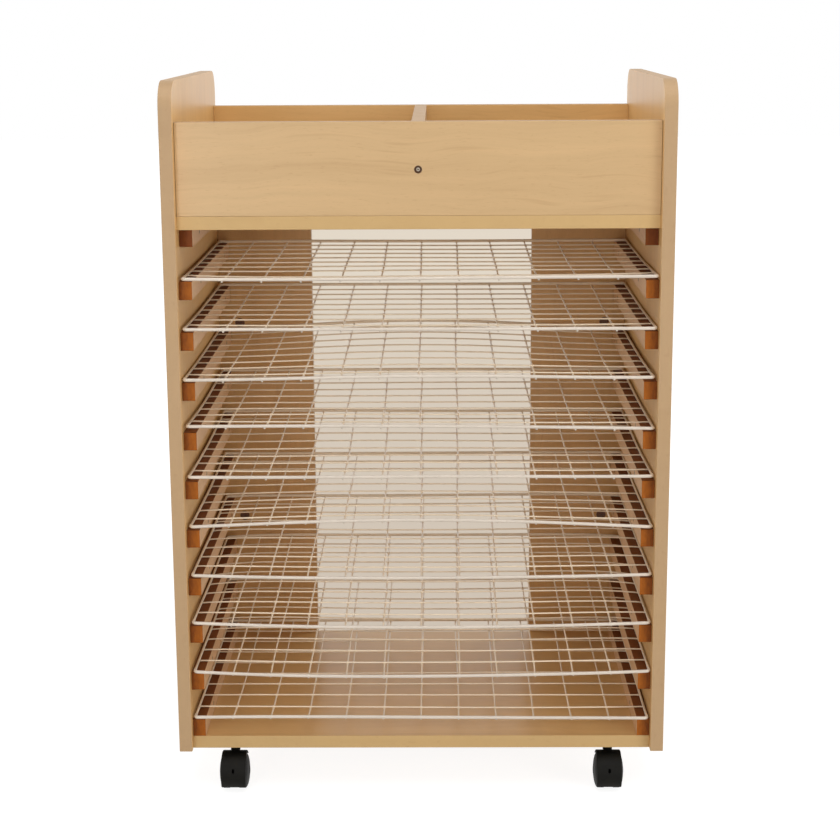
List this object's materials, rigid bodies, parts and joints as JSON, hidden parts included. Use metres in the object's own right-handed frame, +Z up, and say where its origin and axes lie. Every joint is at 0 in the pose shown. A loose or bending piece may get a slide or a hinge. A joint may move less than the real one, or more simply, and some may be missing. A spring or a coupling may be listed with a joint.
{
  "type": "art drying rack",
  "caption": "Mobile wooden cabinet for drying artwork: wire shelves slide on side runners below an open divided tray, on twin-wheel swivel casters.",
  "frame": {"origin": "on the floor, under the centre of the cabinet's footprint", "axes": "+X to the cabinet's right seen from the front, front faces -Y, +Z up"},
  "size_m": [0.68, 0.49, 0.995],
  "materials": {
    "beech_laminate": "satin beech-effect laminate with edge banding",
    "runner_strip": "beech-faced strip with reddish-brown sealed edges and ends",
    "coated_wire": "steel wire in a semi-gloss off-white plastic coat",
    "zinc_screw": "bright zinc plate",
    "dark_fitting": "dark bronze lacquer",
    "black_steel": "black coated pressed steel",
    "caster_plastic": "fine-grained black nylon",
    "axle_steel": "plain turned steel",
    "caster_wheel": "black nylon with a worn tread"
  },
  "bodies": {
    "cabinet": {"left_side_panel": "beech_laminate", "right_side_panel": "beech_laminate", "base_board": "beech_laminate", "tray_floor": "beech_laminate", "tray_front_panel": "beech_laminate", "tray_back_panel": "beech_laminate", "tray_divider": "beech_laminate", "left_back_board": "beech_laminate", "right_back_board": "beech_laminate", "runner_pair_00": "runner_strip", "runner_pair_01": "runner_strip", "runner_pair_02": "runner_strip", "runner_pair_03": "runner_strip", "runner_pair_04": "runner_strip", "runner_pair_05": "runner_strip", "runner_pair_06": "runner_strip", "runner_pair_07": "runner_strip", "runner_pair_08": "runner_strip", "runner_pair_09": "runner_strip", "runner_pair_10": "runner_strip", "runner_screws": "zinc_screw", "tray_front_screw": "zinc_screw", "caster_screws": "zinc_screw", "cam_fittings": "dark_fitting", "caster_front_left_plate": "black_steel", "caster_front_right_plate": "black_steel", "caster_rear_left_plate": "black_steel", "caster_rear_right_plate": "black_steel"},
    "shelf_01": {"wire_shelf_01": "coated_wire"},
    "shelf_02": {"wire_shelf_02": "coated_wire"},
    "shelf_03": {"wire_shelf_03": "coated_wire"},
    "shelf_04": {"wire_shelf_04": "coated_wire"},
    "shelf_05": {"wire_shelf_05": "coated_wire"},
    "shelf_06": {"wire_shelf_06": "coated_wire"},
    "shelf_07": {"wire_shelf_07": "coated_wire"},
    "shelf_08": {"wire_shelf_08": "coated_wire"},
    "shelf_09": {"wire_shelf_09": "coated_wire"},
    "shelf_10": {"wire_shelf_10": "coated_wire"},
    "swivel_front_left": {"caster_front_left_hood": "caster_plastic", "caster_front_left_axle": "axle_steel"},
    "wheel_front_left_a": {"caster_front_left_wheel_a": "caster_wheel"},
    "wheel_front_left_b": {"caster_front_left_wheel_b": "caster_wheel"},
    "swivel_front_right": {"caster_front_right_hood": "caster_plastic", "caster_front_right_axle": "axle_steel"},
    "wheel_front_right_a": {"caster_front_right_wheel_a": "caster_wheel"},
    "wheel_front_right_b": {"caster_front_right_wheel_b": "caster_wheel"},
    "swivel_rear_left": {"caster_rear_left_hood": "caster_plastic", "caster_rear_left_axle": "axle_steel"},
    "wheel_rear_left_a": {"caster_rear_left_wheel_a": "caster_wheel"},
    "wheel_rear_left_b": {"caster_rear_left_wheel_b": "caster_wheel"},
    "swivel_rear_right": {"caster_rear_right_hood": "caster_plastic", "caster_rear_right_axle": "axle_steel"},
    "wheel_rear_right_a": {"caster_rear_right_wheel_a": "caster_wheel"},
    "wheel_rear_right_b": {"caster_rear_right_wheel_b": "caster_wheel"}
  },
  "joints": [
    {"name": "shelf_01_slide", "type": "slide", "parent": "cabinet", "child": "shelf_01", "axis": [0, -1, 0], "range_m": [0, 0.2]},
    {"name": "shelf_02_slide", "type": "slide", "parent": "cabinet", "child": "shelf_02", "axis": [0, -1, 0], "range_m": [0, 0.2]},
    {"name": "shelf_03_slide", "type": "slide", "parent": "cabinet", "child": "shelf_03", "axis": [0, -1, 0], "range_m": [0, 0.2]},
    {"name": "shelf_04_slide", "type": "slide", "parent": "cabinet", "child": "shelf_04", "axis": [0, -1, 0], "range_m": [0, 0.2]},
    {"name": "shelf_05_slide", "type": "slide", "parent": "cabinet", "child": "shelf_05", "axis": [0, -1, 0], "range_m": [0, 0.2]},
    {"name": "shelf_06_slide", "type": "slide", "parent": "cabinet", "child": "shelf_06", "axis": [0, -1, 0], "range_m": [0, 0.2]},
    {"name": "shelf_07_slide", "type": "slide", "parent": "cabinet", "child": "shelf_07", "axis": [0, -1, 0], "range_m": [0, 0.2]},
    {"name": "shelf_08_slide", "type": "slide", "parent": "cabinet", "child": "shelf_08", "axis": [0, -1, 0], "range_m": [0, 0.2]},
    {"name": "shelf_09_slide", "type": "slide", "parent": "cabinet", "child": "shelf_09", "axis": [0, -1, 0], "range_m": [0, 0.2]},
    {"name": "shelf_10_slide", "type": "slide", "parent": "cabinet", "child": "shelf_10", "axis": [0, -1, 0], "range_m": [0, 0.2]},
    {"name": "caster_front_left_swivel", "type": "hinge", "parent": "cabinet", "child": "swivel_front_left", "pos_m": [-0.266, -0.2015, 0.05], "axis": [0, 0, 1], "continuous": true},
    {"name": "caster_front_left_wheel_a_turn", "type": "hinge", "parent": "swivel_front_left", "child": "wheel_front_left_a", "pos_m": [-0.266, -0.2155, 0.025], "axis": [1, 0, 0], "continuous": true},
    {"name": "caster_front_left_wheel_b_turn", "type": "hinge", "parent": "swivel_front_left", "child": "wheel_front_left_b", "pos_m": [-0.266, -0.2155, 0.025], "axis": [1, 0, 0], "continuous": true},
    {"name": "caster_front_right_swivel", "type": "hinge", "parent": "cabinet", "child": "swivel_front_right", "pos_m": [0.266, -0.2015, 0.05], "axis": [0, 0, 1], "continuous": true},
    {"name": "caster_front_right_wheel_a_turn", "type": "hinge", "parent": "swivel_front_right", "child": "wheel_front_right_a", "pos_m": [0.266, -0.2155, 0.025], "axis": [1, 0, 0], "continuous": true},
    {"name": "caster_front_right_wheel_b_turn", "type": "hinge", "parent": "swivel_front_right", "child": "wheel_front_right_b", "pos_m": [0.266, -0.2155, 0.025], "axis": [1, 0, 0], "continuous": true},
    {"name": "caster_rear_left_swivel", "type": "hinge", "parent": "cabinet", "child": "swivel_rear_left", "pos_m": [-0.266, 0.2015, 0.05], "axis": [0, 0, 1], "continuous": true},
    {"name": "caster_rear_left_wheel_a_turn", "type": "hinge", "parent": "swivel_rear_left", "child": "wheel_rear_left_a", "pos_m": [-0.266, 0.1875, 0.025], "axis": [1, 0, 0], "continuous": true},
    {"name": "caster_rear_left_wheel_b_turn", "type": "hinge", "parent": "swivel_rear_left", "child": "wheel_rear_left_b", "pos_m": [-0.266, 0.1875, 0.025], "axis": [1, 0, 0], "continuous": true},
    {"name": "caster_rear_right_swivel", "type": "hinge", "parent": "cabinet", "child": "swivel_rear_right", "pos_m": [0.266, 0.2015, 0.05], "axis": [0, 0, 1], "continuous": true},
    {"name": "caster_rear_right_wheel_a_turn", "type": "hinge", "parent": "swivel_rear_right", "child": "wheel_rear_right_a", "pos_m": [0.266, 0.1875, 0.025], "axis": [1, 0, 0], "continuous": true},
    {"name": "caster_rear_right_wheel_b_turn", "type": "hinge", "parent": "swivel_rear_right", "child": "wheel_rear_right_b", "pos_m": [0.266, 0.1875, 0.025], "axis": [1, 0, 0], "continuous": true}
  ]
}
